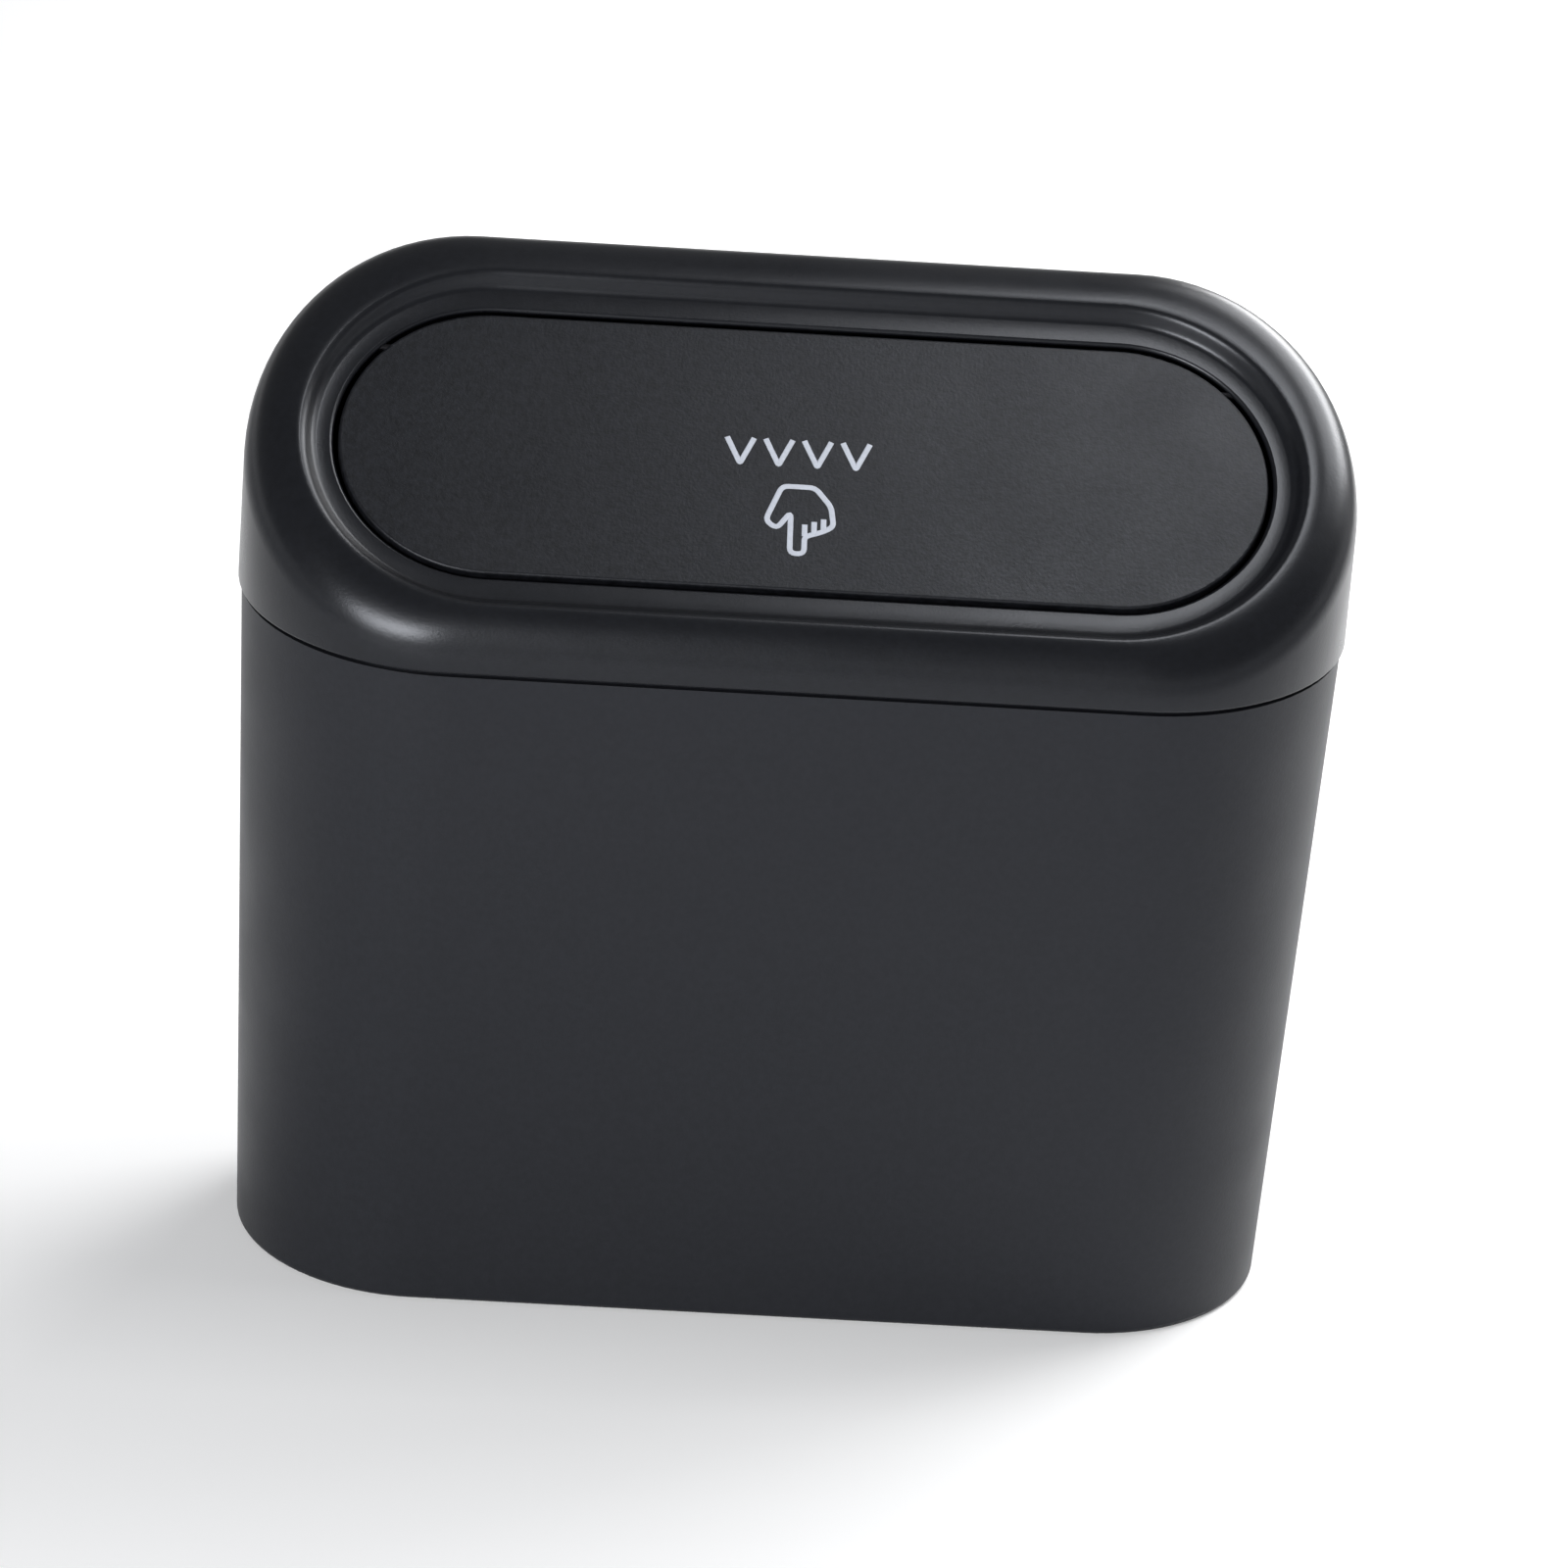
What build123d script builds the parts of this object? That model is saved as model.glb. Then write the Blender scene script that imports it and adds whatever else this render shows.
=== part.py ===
from build123d import *
from math import atan2, cos, degrees, hypot, pi, radians, sin, sqrt, tan
import os

# A press-to-open bin for a car. Millimetres and degrees. +Z is up, the user and the low side of the
# slanted lid are at -Y, and the origin is the middle of the face that the bin stands on.

# Barrel
length = 155.0                # along X, at the seam
depth = 58.5                  # along Y, at the seam
seam_height = 100.5           # floor to the seam between barrel and lid frame
side_taper = 3.6              # each side draws in by this much from the seam down to the floor
wall = 1.8
floor_thickness = 2.0
base_edge_radius = 1.0
seam_gap = 0.7
rim_step = 0.9                # the rim's outer edge is set back by this, so that the seam shows as a groove

# Lid frame
lid_overhang = 0.5            # the lid frame stands out past the barrel
lid_wall = 1.8
tilt = 34.0                   # slope of the lid's top, rising to the back
ledge_thickness = 1.8
ledge_side = 3.2              # flat ledge round the flap, along its long sides
ledge_end = 2.3               # the same at its round ends
inner_wall_run = 2.5          # width of the slope that rises from the ledge to the crest
crest_height = 2.1            # crest of the bulge above the ledge
bulge_drop_front = 5.5        # how far the bulge falls from its crest plane to the upright wall
bulge_drop_back = 12.0
bulge_steps = 10
inner_wall_steps = 4
hollow_edge_radius = 6.0
plug_depth = 8.0              # the frame's skirt reaches this far into the barrel
plug_thickness = 1.5
plug_clearance = 0.3
plug_rib_height = 0.15
plug_rib_width = 1.6
plug_rib_spacing = 26.0
shelf_thickness = 1.8
mouth_lip = 0.6               # upright edge of the mouth, before its underside flares out
mouth_edge_break = 0.42       # bevel on the mouth's upper edge
rib_thickness = 1.3           # stiffening rib under the ledge, round the mouth
rib_height = 3.2

# Flap
flap_length = 130.0
flap_depth = 42.5             # measured along the slope
flap_offset = -2.5            # the flap's middle, along Y
flap_rise = 23.4              # the flap's middle above the seam
flap_thickness = 1.6
flap_gap = 0.7
flap_edge_radius = 0.45
flap_skirt_inset = 0.1        # the bosses under the flap stay this far inside its edge

# Inner panel under the flap
panel_end_inset = 8.0
panel_front_inset = 3.6
panel_back_inset = 8.6
panel_height = 2.2
panel_thickness = 1.2
panel_rim = 1.4
panel_screw_inset = 11.0      # from the panel's end
panel_screw_spread = 9.5      # from the panel's middle, along the slope
panel_boss_wall = 1.0

# Hinge: steel pins held in the flap, turning in bosses on the lid frame
hinge_setback = 6.0           # axis in front of the flap's back edge, along the slope
hinge_depth = 0.9             # axis below the flap's top face
pin_radius = 0.5
pin_grip = 10.0               # length of the pin inside the flap's boss
running_clearance = 0.05
press_clearance = 0.01
flap_boss_radius = 1.6
frame_boss_radius = 1.7
frame_boss_width = 2.4
frame_boss_gap = 0.5

# Torsion spring on the outer end of each pin
spring_wire = 0.4
spring_mean_radius = 1.1
spring_turns = 3
spring_pitch = 0.85
spring_side_gap = 0.3
spring_leg = 1.8
spring_pocket_clearance = 0.4

# Push latch under the front ledge
latch_s = -13.6               # the latch's middle along the slope, from the flap's middle
latch_top = 9.2               # its top below the flap's top face
latch_width = 13.2
latch_breadth = 9.2
latch_wall = 1.2
latch_cavity_depth = 19.0
latch_cap_thickness = 1.4
latch_slide_clearance = 0.3
flange_thickness = 1.8
latch_screw_x = 7.5
plunger_base = 1.6
plunger_press = 1.5           # travel in from the latched position
plunger_pop = 2.5             # travel out from the latched position
jaw_hook = 0.4
jaw_hook_height = 1.1
spring_coil_wire = 0.6
spring_coil_turns = 3

# Striker on the flap
striker_foot_thickness = 1.0
striker_foot_width = 17.0
striker_foot_breadth = 6.4
stem_width = 4.0
stem_breadth = 2.6
head_width = 6.0
head_height = 3.0
striker_reach = 14.2          # lowest point of the head below the flap's top face
striker_nose = 1.2            # bevel that guides the head between the jaws

# Screws
screw_head_radius = 1.7
screw_head_height = 0.9
screw_radius = 0.9
screw_hole_clearance = 0.15
screw_boss_wall = 1.4

# Hook and its rails on the back wall
hook_width = 26.0
hook_plate_height = 34.0
hook_thickness = 2.2
hook_mouth = 8.0              # gap that takes the edge of a pocket
hook_leg = 30.0
hook_tip_flare = 2.5
rail_clearance = 0.3
rail_wall = 1.8
rail_lap = 2.6
rail_height = 30.0
rail_bottom = 52.0            # lower end of the rails above the ground
sill_bevel = 1.6

slope = tan(radians(tilt))
lid_length = length + 2 * lid_overhang
lid_depth = depth + 2 * lid_overhang
lid_bottom = seam_height + seam_gap / 2
lid_top_plane = Plane(
    origin=(0, flap_offset, seam_height + flap_rise),
    x_dir=(1, 0, 0),
    z_dir=(0, -sin(radians(tilt)), cos(radians(tilt))),
)


def slope_normal():
    """The direction square to the lid's top, as an axis."""
    return Axis((0, 0, 0), lid_top_plane.z_dir)


def stadium(long, wide, z):
    """A flat stadium in plan, centred on the Z axis at height z."""
    return Plane.XY.offset(z) * SlotOverall(long, wide)


def on_slope(x, s, n):
    """A plane parallel to the lid's top: x along it, s up the slope, n above the flap's top face."""
    return Plane(lid_top_plane.from_local_coords(Vector(x, s, n)), lid_top_plane.x_dir, lid_top_plane.z_dir)


def slope_slot(long, wide, n, s=0.0):
    """A stadium drawn on the slope."""
    return on_slope(0, s, n) * SlotOverall(long, wide)


def slope_block(size, low, centre_x=0.0, centre_s=0.0):
    """A box with its sides square to the slope; size is (x, s, n) and low is its lowest n."""
    align = (Align.CENTER, Align.CENTER, Align.MIN)
    return on_slope(centre_x, centre_s, low) * Box(size[0], size[1], size[2], align=align)


def slope_cylinder(radius, low, high, x, s):
    """A round bar square to the slope."""
    align = (Align.CENTER, Align.CENTER, Align.MIN)
    return on_slope(x, s, low) * Cylinder(radius, high - low, align=align)


def cross_bar(radius, x_from, x_to, s, n):
    """A round bar along X."""
    align = (Align.CENTER, Align.CENTER, Align.MIN)
    start = lid_top_plane.from_local_coords(Vector(x_from, s, n))
    return Plane(start, (0, 1, 0), (1, 0, 0)) * Cylinder(radius, x_to - x_from, align=align)


def mirrored(solid):
    """The same piece for the other end of the bin."""
    return mirror(solid, about=Plane.YZ)


def slanted_stadium(long, front, back, end_run, height, rise):
    """A stadium in plan from y = front to y = back, lying on a plane that rises to the back.

    end_run is how far each rounded end reaches along X; height is the plane's height at the middle.
    """
    half = (back - front) / 2
    stretch = hypot(1, rise)
    straight = long / 2 - end_run
    right = EllipticalCenterArc((straight, 0), end_run, half * stretch, -90, arc_size=180)
    left = EllipticalCenterArc((-straight, 0), end_run, half * stretch, 90, arc_size=180)
    outline = [right, Line(right @ 1, left @ 0), left, Line(left @ 1, right @ 0)]
    lie = Plane(origin=(0, (front + back) / 2, height), x_dir=(1, 0, 0), z_dir=(0, -rise, 1))
    return lie * make_face(outline)


def crest_ring(share):
    """Outline on the slope between the crest (share 0) and the edge of the ledge (share 1)."""
    run = inner_wall_run * (1 - share)
    n = crest_height * cos(share * pi / 2)
    long = flap_length + 2 * (flap_gap + ledge_end + run)
    wide = flap_depth + 2 * (flap_gap + ledge_side + run)
    middle = flap_offset - n * sin(radians(tilt))
    half = wide / 2 * cos(radians(tilt))
    height = seam_height + flap_rise + n * cos(radians(tilt))
    return long, middle - half, middle + half, wide / 2, height


def bulge_ring(angle):
    """Outline of the bulge, from the top of the upright wall (0) to the crest (90 degrees)."""
    crest_long, crest_front, crest_back, crest_run, crest_z = crest_ring(0)
    inward = 1 - cos(radians(angle))
    fallen = 1 - sin(radians(angle))
    half = lid_depth / 2
    front = -half + (crest_front + half) * inward
    back = half - (half - crest_back) * inward
    long = lid_length - (lid_length - crest_long) * inward
    end_run = half + (crest_run - half) * inward
    rise = slope - fallen * (bulge_drop_back - bulge_drop_front) / lid_depth
    middle = (front + back) / 2
    drop = bulge_drop_front + (bulge_drop_back - bulge_drop_front) * (middle + half) / lid_depth
    height = crest_z + slope * (middle - (crest_front + crest_back) / 2) - fallen * drop
    return long, front, back, end_run, height, rise


def lid_outer_form():
    """The lid frame's outside as one solid: upright wall, bulge, crest and the slope to the ledge."""
    rings = [bulge_ring(90 * k / bulge_steps) for k in range(bulge_steps + 1)]
    rings += [crest_ring(k / inner_wall_steps) + (slope,) for k in range(1, inner_wall_steps + 1)]
    crown = loft([slanted_stadium(*ring) for ring in rings], ruled=True)
    long, front, back, end_run, height, rise = rings[0]
    upright = extrude(stadium(lid_length, lid_depth, lid_bottom), flap_rise + lid_depth)
    cut = Plane(origin=(0, (front + back) / 2, height), x_dir=(1, 0, 0), z_dir=(0, -rise, 1))
    return split(upright, bisect_by=cut, keep=Keep.BOTTOM) + crown


def barrel_form(inset, low, high):
    """A solid inside the barrel's outside, inset all round, from height low to height high."""
    shrink = 2 * (inset + side_taper * (seam_height - low) / seam_height)
    draft = degrees(atan2(side_taper, seam_height))
    return extrude(stadium(length - shrink, depth - shrink, low), high - low, taper=-draft)


def make_bin_body():
    """Barrel with its floor and stepped rim, and the hook's rails on the back wall."""
    top = seam_height - seam_gap / 2
    outside = barrel_form(0, 0, top)
    base_edges = outside.faces().sort_by(Axis.Z)[0].edges()
    body = fillet(base_edges, base_edge_radius)
    body += barrel_form(rim_step, top, lid_bottom)
    body -= barrel_form(wall, floor_thickness, lid_bottom)
    return body + make_rails()


def back_wall_y(z):
    """Outside of the back wall at height z."""
    return depth / 2 - side_taper * (seam_height - z) / seam_height


def hook_face_y():
    """Inner face of the hook plate, far enough out to slide up past the lid frame."""
    return lid_depth / 2 + rail_clearance


def make_rails():
    """Two upright channels and a stop under them, which hold the hook plate."""
    low_y = back_wall_y(rail_bottom) - wall / 2
    slot_low = hook_face_y() - rail_clearance
    slot_high = hook_face_y() + hook_thickness + rail_clearance
    half = hook_width / 2 + rail_clearance
    align = (Align.MIN, Align.MIN, Align.MIN)
    place = Location((half - rail_lap, low_y, rail_bottom))
    rail = place * Box(rail_lap + rail_wall, slot_high + rail_wall - low_y, rail_height, align=align)
    slot_place = Location((0, slot_low, rail_bottom - 1))
    rail -= slot_place * Box(half, slot_high - slot_low, rail_height + 2, align=align)
    stop_align = (Align.CENTER, Align.MIN, Align.MAX)
    stop_width = 2 * (half + rail_wall)
    stop_depth = slot_high + rail_wall - low_y
    stop = Location((0, low_y, rail_bottom)) * Box(stop_width, stop_depth, rail_wall, align=stop_align)
    sill = chamfer(stop.edges().group_by(Axis.Z)[0].sort_by(Axis.Y)[-1], sill_bevel)
    return rail + mirrored(rail) + sill


def make_hook():
    """Flat plate that bends over at the top into a clip for the edge of a pocket."""
    inner = hook_face_y()
    outer = inner + hook_thickness
    low = rail_bottom + rail_clearance
    high = low + hook_plate_height
    bend = hook_mouth / 2
    centre_y = outer + bend
    leg_y = outer + hook_mouth
    with BuildPart() as hook:
        with BuildSketch(Plane.YZ):
            with BuildLine():
                Polyline((outer, high), (outer, low), (inner, low), (inner, high))
                ThreePointArc((inner, high), (centre_y, high + bend + hook_thickness),
                              (leg_y + hook_thickness, high))
                Polyline((leg_y + hook_thickness, high), (leg_y + hook_thickness, high - hook_leg),
                         (leg_y + hook_thickness + hook_tip_flare, high - hook_leg - 2 * hook_tip_flare),
                         (leg_y + hook_tip_flare, high - hook_leg - 2 * hook_tip_flare),
                         (leg_y, high - hook_leg), (leg_y, high))
                ThreePointArc((leg_y, high), (centre_y, high + bend), (outer, high))
            make_face()
        extrude(amount=hook_width / 2, both=True)
        corners = hook.edges().filter_by(Axis.Y).group_by(Axis.Z)[0]
        fillet(corners, hook_thickness)
    return hook.part


def flap_axis_s():
    """The hinge axis, measured up the slope from the flap's middle."""
    return flap_depth / 2 - hinge_setback


def slot_reach_x(long, wide, s):
    """Half the length of a stadium on the slope, at s."""
    radius = wide / 2
    return long / 2 - radius + sqrt(radius ** 2 - s ** 2)


def frame_boss_start_x():
    """Inner end of the lid frame's hinge boss, clear of the flared mouth."""
    grown = flap_gap + ledge_thickness - mouth_lip
    return slot_reach_x(flap_length + 2 * grown, flap_depth + 2 * grown, flap_axis_s()) + frame_boss_gap


def spring_start_x():
    """Inner end of the coil."""
    return frame_boss_start_x() + frame_boss_width + spring_side_gap


def spring_end_x():
    """Outer end of the coil."""
    return spring_start_x() + spring_turns * spring_pitch + spring_wire


def pin_end_x():
    """Outer end of the hinge pin."""
    return spring_end_x() + spring_wire


def mouth_shape(grow, n):
    """The mouth's outline on the slope, grown all round."""
    return slope_slot(flap_length + 2 * (flap_gap + grow), flap_depth + 2 * (flap_gap + grow), n)


def make_lid_frame():
    """Bulged ring that plugs into the barrel, with the ledge, the mouth and the bosses under it."""
    frame = lid_outer_form()
    inside = extrude(stadium(lid_length - 2 * lid_wall, lid_depth - 2 * lid_wall, lid_bottom + shelf_thickness),
                     flap_rise + lid_depth)
    ceiling = split(inside, bisect_by=on_slope(0, 0, -ledge_thickness), keep=Keep.BOTTOM)
    roof = ceiling.faces().sort_by(Axis.Z)[-1]
    frame -= fillet(roof.edges(), hollow_edge_radius)
    throat_inset = wall + plug_clearance + plug_thickness
    throat = stadium(length - 2 * throat_inset, depth - 2 * throat_inset, lid_bottom - 1)
    frame -= extrude(throat, shelf_thickness + 2)
    frame -= extrude(mouth_shape(0, -mouth_lip), mouth_lip)
    frame -= extrude(mouth_shape(0, -mouth_edge_break), mouth_edge_break, taper=-45)
    frame -= extrude(mouth_shape(0, -mouth_lip), -(ledge_thickness - mouth_lip + 1), taper=-45)
    rib = extrude(mouth_shape(ledge_thickness - mouth_lip + rib_thickness, -ledge_thickness), -rib_height)
    rib -= extrude(mouth_shape(ledge_thickness - mouth_lip, -ledge_thickness), -rib_height)
    frame += rib
    frame += make_plug()
    boss = make_frame_boss()
    pocket = make_spring_pocket()
    bore = cross_bar(pin_radius + running_clearance, pin_inner_x() + pin_grip, pin_end_x(), flap_axis_s(),
                     -hinge_depth)
    frame += boss + mirrored(boss)
    frame -= pocket + mirrored(pocket)
    frame -= bore + mirrored(bore)
    for x in (-latch_screw_x, latch_screw_x):
        frame += make_latch_post(x)
        frame -= slope_cylinder(screw_radius, -latch_top, -latch_top + latch_screw_length(), x, latch_screw_s())
    return frame


def make_plug():
    """Skirt that plugs into the barrel, drafted like its wall, with small grip ribs."""
    inset = wall + plug_clearance
    low = seam_height - plug_depth
    skirt = barrel_form(inset, low, lid_bottom + shelf_thickness)
    skirt -= barrel_form(inset + plug_thickness, low, lid_bottom + shelf_thickness)
    half = depth / 2 - inset - side_taper * plug_depth / seam_height
    count = int((length - depth) // plug_rib_spacing)
    align = (Align.CENTER, Align.CENTER, Align.MIN)
    for k in range(count + 1):
        x = (k - count / 2) * plug_rib_spacing
        for side in (1, -1):
            place = Location((x, side * (half - plug_rib_width / 2 + plug_rib_height), low))
            skirt += place * Box(plug_rib_width, plug_rib_width, plug_depth - seam_gap, align=align)
    return skirt


def make_frame_boss():
    """Boss under the ledge that the hinge pin turns in."""
    start = frame_boss_start_x()
    s = flap_axis_s()
    boss = cross_bar(frame_boss_radius, start, start + frame_boss_width, s, -hinge_depth)
    fill = slope_block((frame_boss_width, 2 * frame_boss_radius, frame_boss_radius), -hinge_depth,
                       start + frame_boss_width / 2, s)
    boss += fill
    return split(boss, bisect_by=on_slope(0, 0, -ledge_thickness / 2), keep=Keep.BOTTOM)


def make_spring_pocket():
    """Hollow in the underside of the bulge that the coil turns in."""
    radius = spring_mean_radius + spring_wire / 2 + spring_pocket_clearance
    start = spring_start_x() - spring_side_gap
    end = pin_end_x() + spring_side_gap
    s = flap_axis_s()
    pocket = cross_bar(radius, start, end, s, -hinge_depth)
    return pocket + slope_block((end - start, 2 * radius, radius), -hinge_depth - radius, (start + end) / 2, s)


def latch_screw_s():
    """The latch's two screws go up into posts in front of the mouth."""
    grown = flap_gap + ledge_thickness - mouth_lip
    return -(flap_depth / 2 + grown + screw_radius + screw_boss_wall)


def latch_screw_length():
    """Thread length above the flange."""
    return latch_top - ledge_thickness - screw_boss_wall


def make_latch_post(x):
    """Post under the front ledge that takes a latch screw."""
    return slope_cylinder(screw_radius + screw_boss_wall, -latch_top, -ledge_thickness / 2, x, latch_screw_s())


def make_flap():
    """Flush plate with softened edges, a pin boss at each back corner and screw bosses under it."""
    plate = extrude(slope_slot(flap_length, flap_depth, 0), -flap_thickness)
    top = plate.faces().sort_by(slope_normal())[-1]
    plate = fillet(top.edges(), flap_edge_radius)
    inner_x = pin_inner_x()
    s = flap_axis_s()
    skirt = slope_slot(flap_length - 2 * flap_skirt_inset, flap_depth - 2 * flap_skirt_inset, -flap_thickness / 2)
    boss = cross_bar(flap_boss_radius, inner_x - flap_boss_radius, inner_x + pin_grip + flap_boss_radius, s,
                     -hinge_depth)
    boss &= extrude(skirt, -2 * flap_boss_radius)
    flap = plate + boss + mirrored(boss)
    for x, screw_s in panel_screw_places():
        flap += slope_cylinder(screw_radius + panel_boss_wall, -flap_thickness - panel_height + panel_thickness,
                               -flap_thickness / 2, x, screw_s)
        flap -= slope_cylinder(screw_radius, -flap_thickness - panel_height, -flap_thickness / 2, x, screw_s)
    bore = cross_bar(pin_radius + press_clearance, inner_x, pin_end_x(), s, -hinge_depth)
    return flap - bore - mirrored(bore)


def pin_inner_x():
    """Inner end of the hinge pin."""
    return slot_reach_x(flap_length, flap_depth, flap_axis_s()) - pin_grip


def panel_middle_s():
    """Middle of the inner panel, along the slope."""
    return (panel_front_inset - panel_back_inset) / 2


def panel_length():
    """Overall length of the inner panel."""
    return flap_length - 2 * panel_end_inset


def panel_screw_places():
    """Where the four screws of the inner panel stand, as (x, s)."""
    x = panel_length() / 2 - panel_screw_inset
    return [(side * x, panel_middle_s() + row * panel_screw_spread) for side in (-1, 1) for row in (-1, 1)]


def make_flap_inner_panel():
    """Shallow tray screwed under the flap, which closes it and carries the striker."""
    wide = flap_depth - panel_front_inset - panel_back_inset
    s = panel_middle_s()
    tray = extrude(slope_slot(panel_length(), wide, -flap_thickness, s), -panel_height)
    room = slope_slot(panel_length() - 2 * panel_rim, wide - 2 * panel_rim, -flap_thickness, s)
    tray -= extrude(room, -(panel_height - panel_thickness))
    for x, screw_s in panel_screw_places():
        tray -= slope_cylinder(screw_radius + screw_hole_clearance, -flap_thickness - panel_height - 1,
                               -flap_thickness, x, screw_s)
    for side in (1, -1):
        tray -= slope_cylinder(screw_radius, -flap_thickness - panel_height - 1, -flap_thickness,
                               side * striker_screw_x(), latch_s)
    return tray


def striker_screw_x():
    """Screws on the striker's foot."""
    return (striker_foot_width + head_width) / 4


def make_screw(x, s, head_top, shank):
    """Pan-head screw pointing up the normal, with its head below head_top."""
    screw = slope_cylinder(screw_head_radius, head_top - screw_head_height, head_top, x, s)
    rim = screw.edges().sort_by(Axis.Z)[0]
    screw = fillet(rim, screw_head_height * 0.5)
    return screw + slope_cylinder(screw_radius - running_clearance, head_top, head_top + shank, x, s)


def make_panel_screws():
    """Four screws that hold the inner panel to the flap."""
    under = -flap_thickness - panel_height
    shank = panel_height + flap_thickness / 2 - running_clearance
    return Compound(children=[make_screw(x, s, under, shank).solids()[0] for x, s in panel_screw_places()])


def make_striker():
    """Foot plate with a T-headed tongue that the latch's jaws hold."""
    under = -flap_thickness - panel_height
    foot = slope_block((striker_foot_width, striker_foot_breadth, striker_foot_thickness),
                       under - striker_foot_thickness, 0, latch_s)
    stem = slope_block((stem_width, stem_breadth, striker_reach + under), -striker_reach, 0, latch_s)
    head = slope_block((head_width, stem_breadth, head_height), -striker_reach, 0, latch_s)
    nose = head.faces().sort_by(slope_normal())[0].edges().sort_by(Axis.X)
    striker = foot + stem + chamfer([nose[0], nose[-1]], striker_nose)
    for side in (1, -1):
        striker -= slope_cylinder(screw_radius + screw_hole_clearance, under - striker_foot_thickness - 1, under,
                                  side * striker_screw_x(), latch_s)
    return striker


def make_striker_screws():
    """Two screws that hold the striker to the inner panel."""
    under = -flap_thickness - panel_height - striker_foot_thickness
    shank = striker_foot_thickness + panel_thickness - running_clearance
    return Compound(children=[make_screw(side * striker_screw_x(), latch_s, under, shank).solids()[0]
                              for side in (1, -1)])


def make_hinge_pin():
    """Steel pin, cross-slotted at its outer end for the spring's tail."""
    s = flap_axis_s()
    pin = cross_bar(pin_radius, pin_inner_x(), pin_end_x(), s, -hinge_depth)
    slot_depth = 2 * spring_wire + 2 * running_clearance
    slot_height = spring_wire + 2 * running_clearance
    slot = slope_block((slot_depth, 4 * pin_radius, slot_height), -hinge_depth - slot_height / 2,
                       pin_end_x() - slot_depth / 2, s)
    return pin - slot


def arc_mid(start, end, corner):
    """Middle of the arc that leaves start towards corner and reaches end from corner."""
    weight = (end - start).length / 2 / (corner - start).length
    return (start + corner * (2 * weight) + end) / (2 + 2 * weight)


def biarc(start, start_way, end, end_way):
    """Two tangent arcs from start to end, which leave and arrive along the given directions."""
    chord = end - start
    both = start_way + end_way
    turn = 2 * (1 - start_way.dot(end_way))
    along = chord.dot(both)
    if turn < 1e-9:
        reach = chord.dot(chord) / (2 * along)
    else:
        reach = (-2 * along + sqrt(4 * along ** 2 + 4 * turn * chord.dot(chord))) / (2 * turn)
    first = start + start_way * reach
    second = end - end_way * reach
    join = (first + second) / 2
    return [Edge.make_three_point_arc(start, arc_mid(start, join, first), join),
            Edge.make_three_point_arc(join, arc_mid(join, end, second), end)]


def helix_knots(radius, pitch, turns):
    """Quarter-turn points and directions of a helix about the local Z axis."""
    knots = []
    rise = pitch / (2 * pi * radius)
    for k in range(int(4 * turns) + 1):
        angle = k * pi / 2
        point = Vector(radius * cos(angle), radius * sin(angle), pitch * k / 4)
        way = Vector(-sin(angle), cos(angle), rise).normalized()
        knots.append((point, way))
    return knots


def self_gap(points, wire, turn_points):
    """Least clear distance between different turns of a coil."""
    least = min((points[i] - points[j]).length
                for i in range(len(points)) for j in range(i + turn_points, len(points)))
    return least - wire


def coil_edges(knots):
    """Biarcs through the knots of a coil."""
    edges = []
    for (start, start_way), (end, end_way) in zip(knots, knots[1:]):
        edges += biarc(start, start_way, end, end_way)
    return edges


def print_gap(name, edges, wire, per_turn):
    """Measure and print how close the coil's turns come to each other."""
    points = [edge @ share for edge in edges for share in (0, 0.25, 0.5, 0.75)]
    print(name, "least gap between turns", round(self_gap(points, wire, per_turn * 4 * 3 // 4), 3))


def make_hinge_spring():
    """Torsion spring: turns round the pin, a tail in the pin's slot and a leg against the frame."""
    knots = helix_knots(spring_mean_radius, spring_pitch, spring_turns)
    edges = coil_edges(knots)
    print_gap("hinge spring", edges, spring_wire, 8)
    first, first_way = knots[0]
    last, last_way = knots[-1]
    leg = Edge.make_line(first - Vector(0, spring_leg, 0), first)
    edges[0:0] = [leg]
    centre = Vector(0, 0, last.Z)
    inward = Vector(0, 1, 0)
    bend_end = centre + inward * (spring_mean_radius - spring_wire)
    edges += biarc(last, Vector(last_way.X, last_way.Y, 0).normalized(), bend_end, inward * -1)
    edges.append(Edge.make_line(bend_end, centre - inward * pin_radius))
    path = Wire(edges)
    profile = Plane(path @ 0, z_dir=path % 0) * Circle(spring_wire / 2)
    coil = sweep(profile, path=path)
    origin = lid_top_plane.from_local_coords(Vector(spring_start_x() + spring_wire / 2, flap_axis_s(), -hinge_depth))
    down_slope = lid_top_plane.y_dir * -1
    return Plane(origin, x_dir=lid_top_plane.z_dir * -1, z_dir=(1, 0, 0)) * coil


def latch_floor():
    """Bottom of the latch's cavity, below the flap's top face."""
    return latch_top + latch_cavity_depth


def make_latch_housing():
    """Box with a flange that is screwed up under the front ledge."""
    box = slope_block((latch_width, latch_breadth, latch_cavity_depth), -latch_floor(), 0, latch_s)
    box = fillet(box.edges().filter_by(slope_normal()), latch_wall * 0.8)
    front = latch_screw_s() - screw_radius - screw_boss_wall
    flange_length = latch_s - front
    flange_width = 2 * (latch_screw_x + screw_radius + screw_boss_wall)
    flange = slope_block((flange_width, flange_length, flange_thickness), -latch_top - flange_thickness, 0,
                         (latch_s + front) / 2)
    box += flange
    box -= slope_block((latch_width - 2 * latch_wall, latch_breadth - 2 * latch_wall, latch_cavity_depth + 2),
                       -latch_floor() - 1, 0, latch_s)
    for side in (1, -1):
        box -= slope_cylinder(screw_radius + screw_hole_clearance, -latch_top - 2 * flange_thickness,
                              -latch_top + 1, side * latch_screw_x, latch_screw_s())
    return box


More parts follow.
